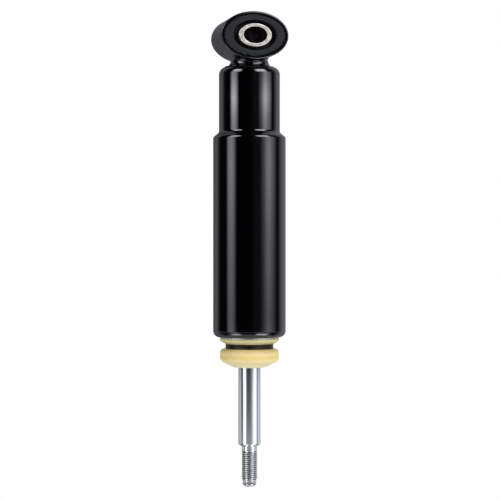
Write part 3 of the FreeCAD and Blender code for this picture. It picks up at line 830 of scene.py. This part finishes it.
rodSettings = {
    "radius": 7.0,
    "shoulder": 26.0,  # heights above the stud's end
    "shoulderRound": 0.15,
    "chamfer": 1.4,
    "chamferHeight": 1.1,
    "chamferRound": 0.3,
    "shankRadius": 4.84,
    "shankRound": 0.3,
    "threadTop": 22.8,
    "threadLow": 4.4,
    "crestRadius": 5.0,
    "rootRadius": 4.4,
    "pitch": 1.25,
    "rootShare": 1 / 6,  # flat at the root, as a share of the pitch
    "flankAngle": 30,  # degrees
    "leadIn": 1.5,  # turns that are cut off below the thread
    "runOut": 0.8,  # the groove shallows out over this height
    "runOutSlope": 1.5,  # the crests come in to the shank at this slope
    "coreRadius": 4.0,
    "coreEnd": 0.1,  # the core's ends slope over this height
    "dogRadius": 4.28,
    "dogChamfer": 2.3,
    "dogChamferHeight": 1.3,
    "dogRound": 0.5,
    "dogGap": 0.05,  # between the dog point and the first crest
    "spigotRadius": 4.5,
    "spigotRound": 0.4,
    "seat": 156.55,  # shoulder that the piston's washer rests on
    "grooveLow": 113.85,  # groove of the rebound stop
    "grooveTop": 116.25,
    "grooveDepth": 0.8,
    "roundSteps": 6,
    "steps": 160,
    "threadSteps": 72,  # in one turn
}


def hardChrome():  # hard chrome, centreless ground: cold bright mirror, fine lines round the shaft
    material, tree, place = startMaterial("groundHardChrome", {"Base Color": hexColour("dfe2e7"),
                                                               "Metallic": 1.0})
    axial = addNode(tree, "ShaderNodeSeparateXYZ", {0: place})
    gritSize = 0.35  # mm, drawn coarser than the real grit so that it shows
    grit = addNode(tree, "ShaderNodeTexNoise", {"W": axial.outputs["Z"], "Scale": 1 / (gritSize * mm),
                                                "Detail": 3.0}, noise_dimensions="1D")
    rough = addNode(tree, "ShaderNodeMapRange", {**noiseSpan, "Value": grit.outputs["Fac"],
                                                 "To Min": 0.06, "To Max": 0.11})
    bump = addNode(tree, "ShaderNodeBump", {"Strength": 0.05, "Distance": 0.01 * mm,
                                            "Height": grit.outputs["Fac"]})
    return finishMaterial(material, {"Roughness": rough, "Normal": bump})


def rolledThread():  # bare rolled steel, lightly oiled: grey, crests polished and smoother, colour darker at the roots as painted shade in the thread's grooves
    material, tree, place = startMaterial("rolledThreadSteel", {"Metallic": 1.0})
    flat = addNode(tree, "ShaderNodeVectorMath", {0: place, 1: (1, 1, 0)}, operation="MULTIPLY")
    radius = addNode(tree, "ShaderNodeVectorMath", {0: flat.outputs[0]}, operation="LENGTH")
    # root to crest: the darker colour at the roots is painted shade in the grooves; the smoother crests are
    # real polish
    depth = addNode(tree, "ShaderNodeMapRange", {"Value": radius.outputs["Value"],
                                                 "From Min": rodSettings["rootRadius"] * mm,
                                                 "From Max": rodSettings["crestRadius"] * mm})
    stainSize = 1.2  # mm
    stain = addNode(tree, "ShaderNodeTexNoise", {"Vector": place, "Scale": 1 / (stainSize * mm),
                                                 "Detail": 3.0})
    stainShare = 0.4
    blend = addNode(tree, "ShaderNodeMath", {0: stain.outputs["Fac"], 1: stainShare, 2: depth.outputs[0]},
                    operation="MULTIPLY_ADD")
    colour = addNode(tree, "ShaderNodeValToRGB", {"Fac": blend.outputs[0]},
                     [(0.15, hexColour("8e9193")), (0.6, hexColour("c8caca")), (1.0, hexColour("e4e6e6"))])
    rough = addNode(tree, "ShaderNodeMapRange", {"Value": blend.outputs[0], "From Min": 0.2, "From Max": 1.2,
                                                 "To Min": 0.34, "To Max": 0.2})
    return finishMaterial(material, {"Base Color": colour, "Roughness": rough})


def turnedStud():  # bare turned steel at the shank and the dog point: bright, soft rings round the axis
    material, tree, place = startMaterial("turnedStudSteel", {"Metallic": 1.0})
    axial = addNode(tree, "ShaderNodeSeparateXYZ", {0: place})
    feedSize = 0.4  # mm, drawn coarser than the real tool feed so that it shows
    feed = addNode(tree, "ShaderNodeTexNoise", {"W": axial.outputs["Z"], "Scale": 1 / (feedSize * mm),
                                                "Detail": 2.0}, noise_dimensions="1D")
    colour = addNode(tree, "ShaderNodeValToRGB", {"Fac": feed.outputs["Fac"]},
                     [(0.3, hexColour("dcdddd")), (0.7, hexColour("eeefef"))])
    rough = addNode(tree, "ShaderNodeMapRange", {"Value": feed.outputs["Fac"], "From Min": 0.3,
                                                 "To Min": 0.1, "To Max": 0.16})
    bump = addNode(tree, "ShaderNodeBump", {"Strength": 0.1, "Distance": 0.01 * mm,
                                            "Height": feed.outputs["Fac"]})
    return finishMaterial(material, {"Base Color": colour, "Roughness": rough, "Normal": bump})


def makeThread(bm, foot):
    size = rodSettings
    pitch = size["pitch"]
    low, top = foot + size["threadLow"], foot + size["threadTop"]
    crest, root = size["crestRadius"], size["rootRadius"]
    start = low - size["leadIn"] * pitch
    turns = math.ceil((top - start) / pitch) + 1
    flat = size["rootShare"] * pitch / 2
    rise = (crest - root) * math.tan(math.radians(size["flankAngle"]))
    section = [(root, 0), (root, flat), (crest, flat + rise), (crest, pitch - flat - rise),
               (root, pitch - flat), (root, pitch)]
    verts = [bm.verts.new((radius * mm, 0, (start + height) * mm)) for radius, height in section]
    edges = [bm.edges.new(pair) for pair in zip(verts, verts[1:])]
    bmesh.ops.spin(bm, geom=verts + edges, axis=(0, 0, 1), cent=(0, 0, 0), angle=2 * math.pi * turns,
                   steps=size["threadSteps"] * turns, dvec=(0, 0, pitch / size["threadSteps"] * mm))
    bmesh.ops.remove_doubles(bm, verts=bm.verts, dist=mergeDistance)
    for level, side in ((low, -1), (top, 1)):
        cut = bmesh.ops.bisect_plane(bm, geom=bm.verts[:] + bm.edges[:] + bm.faces[:],
                                     dist=mergeDistance / 10,
                                     plane_co=(0, 0, level * mm), plane_no=(0, 0, side), clear_outer=True)
        rim = [part for part in cut["geom_cut"] if isinstance(part, bmesh.types.BMEdge)]
        bmesh.ops.holes_fill(bm, edges=rim, sides=0)
    for vert in bm.verts:
        radius = vert.co.xy.length / mm
        height = vert.co.z / mm
        fade = min(1.0, (top - height) / size["runOut"])
        wanted = crest - (crest - radius) * fade
        wanted = min(wanted, size["dogRadius"] + height - low,
                     size["shankRadius"] + size["runOutSlope"] * (top - height))
        vert.co.x *= wanted / radius
        vert.co.y *= wanted / radius


def makeRod():
    size = rodSettings
    low, high = (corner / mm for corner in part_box("piston_rod"))
    foot = low.z
    bm = bmesh.new()
    makeThread(bm, foot)
    for face in bm.faces:
        face.material_index = 1
    shoulder = foot + size["shoulder"]
    outline = [
        (0, foot),
        (size["dogRadius"] - size["dogChamfer"], foot, size["dogRound"]),
        (size["dogRadius"], foot + size["dogChamferHeight"], size["dogRound"]),
        (size["dogRadius"], foot + size["threadLow"] - size["dogGap"]),
        (size["coreRadius"], foot + size["threadLow"] + size["coreEnd"]),
        (size["coreRadius"], foot + size["threadTop"] - size["coreEnd"]),
        (size["shankRadius"], foot + size["threadTop"]),
        (size["shankRadius"], shoulder, size["shankRound"]),
        (size["radius"] - size["chamfer"], shoulder, size["shoulderRound"]),
        (size["radius"], shoulder + size["chamferHeight"], size["chamferRound"]),
        (size["radius"], foot + size["grooveLow"]),
        (size["radius"] - size["grooveDepth"], foot + size["grooveLow"]),
        (size["radius"] - size["grooveDepth"], foot + size["grooveTop"]),
        (size["radius"], foot + size["grooveTop"]),
        (size["radius"], foot + size["seat"]),
        (size["spigotRadius"], foot + size["seat"]),
        (size["spigotRadius"], high.z, size["spigotRound"]),
        (0, high.z),
    ]
    turnOutline(bm, outline, size["steps"], size["roundSteps"])
    for face in bm.faces:
        if not face.material_index and face.calc_center_median().z < shoulder * mm - mergeDistance:
            face.material_index = 2  # turned below the shoulder, chromed above
    finishPiece("pistonRod", bm, [hardChrome(), rolledThread(), turnedStud()], "rod",
                ["piston_rod"])


makeRod()


# pieces inside the tube keep their CAD shapes and get their own finishes

def oiledSteel():  # drawn and turned mild steel under a film of oil: mid grey, streaked round the axis
    material, tree, place = startMaterial("oiledTurnedSteel", {"Metallic": 1.0})
    axial = addNode(tree, "ShaderNodeSeparateXYZ", {0: place})
    streakSize = 0.5  # mm
    streak = addNode(tree, "ShaderNodeTexNoise", {"W": axial.outputs["Z"], "Scale": 1 / (streakSize * mm),
                                                  "Detail": 3.0}, noise_dimensions="1D")
    colour = addNode(tree, "ShaderNodeValToRGB", {"Fac": streak.outputs["Fac"]},
                     [(0.3, hexColour("85868a")), (0.7, hexColour("b4b6b9"))])
    rough = addNode(tree, "ShaderNodeMapRange", {**noiseSpan, "Value": streak.outputs["Fac"],
                                                 "To Min": 0.2, "To Max": 0.34})
    return finishMaterial(material, {"Base Color": colour, "Roughness": rough})


def bluedStrip():  # tempered spring strip: dark blue-grey with straw patches from the heat
    material, tree, place = startMaterial("bluedSpringStrip", {"Metallic": 1.0})
    heatSize = 5.0  # mm
    heat = addNode(tree, "ShaderNodeTexNoise", {"Vector": place, "Scale": 1 / (heatSize * mm),
                                                "Detail": 2.0})
    colour = addNode(tree, "ShaderNodeValToRGB", {"Fac": heat.outputs["Fac"]},
                     [(0.3, hexColour("5d6a80")), (0.6, hexColour("8a909b")), (0.75, hexColour("9b8c74"))])
    rough = addNode(tree, "ShaderNodeMapRange", {**noiseSpan, "Value": heat.outputs["Fac"],
                                                 "To Min": 0.24, "To Max": 0.32})
    return finishMaterial(material, {"Base Color": colour, "Roughness": rough})


def sinteredIron():  # pressed and sintered iron powder: dark grey, open grain
    material, tree, place = startMaterial("sinteredIron", {"Metallic": 0.9})
    grainSize = 0.4  # mm
    grain = addNode(tree, "ShaderNodeTexVoronoi", {"Vector": place, "Scale": 1 / (grainSize * mm)})
    colour = addNode(tree, "ShaderNodeValToRGB", {"Fac": grain.outputs["Distance"]},
                     [(0.1, hexColour("6d6e70")), (0.8, hexColour("8b8c8e"))])
    bump = addNode(tree, "ShaderNodeBump", {"Strength": 0.4, "Distance": 0.04 * mm,
                                            "Height": grain.outputs["Distance"]})
    rough = addNode(tree, "ShaderNodeMapRange", {"Value": grain.outputs["Distance"], "To Min": 0.6,
                                                 "To Max": 0.48})
    return finishMaterial(material, {"Base Color": colour, "Roughness": rough, "Normal": bump})


def sinteredBronze():  # bronze powder on a steel back: warm brown, speckled
    material, tree, place = startMaterial("sinteredBronze", {"Metallic": 1.0})
    speckSize = 0.3  # mm
    speck = addNode(tree, "ShaderNodeTexNoise", {"Vector": place, "Scale": 1 / (speckSize * mm),
                                                 "Detail": 2.0})
    colour = addNode(tree, "ShaderNodeValToRGB", {"Fac": speck.outputs["Fac"]},
                     [(0.35, hexColour("94713d")), (0.65, hexColour("c79d63"))])
    rough = addNode(tree, "ShaderNodeMapRange", {**noiseSpan, "Value": speck.outputs["Fac"],
                                                 "To Min": 0.4, "To Max": 0.3})
    return finishMaterial(material, {"Base Color": colour, "Roughness": rough})


def filledPtfe():  # bronze-filled PTFE strip: dull green-grey with fine flecks
    material, tree, place = startMaterial("filledPtfe", {"IOR": 1.36})
    fleckSize = 0.25  # mm
    fleck = addNode(tree, "ShaderNodeTexNoise", {"Vector": place, "Scale": 1 / (fleckSize * mm),
                                                 "Detail": 1.0})
    colour = addNode(tree, "ShaderNodeValToRGB", {"Fac": fleck.outputs["Fac"]},
                     [(0.4, hexColour("3f4a45")), (0.62, hexColour("5b665f")), (0.7, hexColour("8a7a52"))])
    rough = addNode(tree, "ShaderNodeMapRange", {**noiseSpan, "Value": fleck.outputs["Fac"],
                                                 "To Min": 0.42, "To Max": 0.54})
    return finishMaterial(material, {"Base Color": colour, "Roughness": rough})


def nitrileRubber():  # oil-proof nitrile: near black, smooth, wet with oil in patches
    material, tree, place = startMaterial("nitrileSealRubber", {"IOR": 1.52})
    filmSize = 4.0  # mm
    film = addNode(tree, "ShaderNodeTexNoise", {"Vector": place, "Scale": 1 / (filmSize * mm),
                                                "Detail": 3.0})
    colour = addNode(tree, "ShaderNodeValToRGB", {"Fac": film.outputs["Fac"]},
                     [(0.3, hexColour("161617")), (0.7, hexColour("262728"))])
    rough = addNode(tree, "ShaderNodeMapRange", {"Value": film.outputs["Fac"], "From Min": 0.35,
                                                 "From Max": 0.65, "To Min": 0.28, "To Max": 0.58})
    return finishMaterial(material, {"Base Color": colour, "Roughness": rough})


insideFinish = {  # slot of the record, finish
    "plain_steel": oiledSteel(),
    "spring_steel": bluedStrip(),
    "sintered_iron": sinteredIron(),
    "bearing_bronze": sinteredBronze(),
    "band_ptfe": filledPtfe(),
    "seal_rubber": nitrileRubber(),
}
for subpart in frame["record"]["subparts"]:
    finish = insideFinish.get(subpart["material_slot"])
    if finish:
        mesh = nodes[subpart["node"]].data
        mesh.materials.clear()
        mesh.materials.append(finish)
print("inside pieces finished")


# valve springs: copies of the CAD's star springs, each with its own mesh; the joints list them as flattening
# when their plates lift

springNames = {"piston_check_spring": "checkSpring", "base_intake_spring": "intakeSpring"}


def makeSprings():
    for joint in frame["joints"]:
        for spring in joint.get("deforming_nodes", []):
            node = spring["node"]
            bm = bmesh.new()
            bm.from_mesh(nodes[node].data)
            piece = finishPiece(springNames[node], bm, [insideFinish["spring_steel"]], joint["parent"],
                                [node])
            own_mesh(piece)


makeSprings()
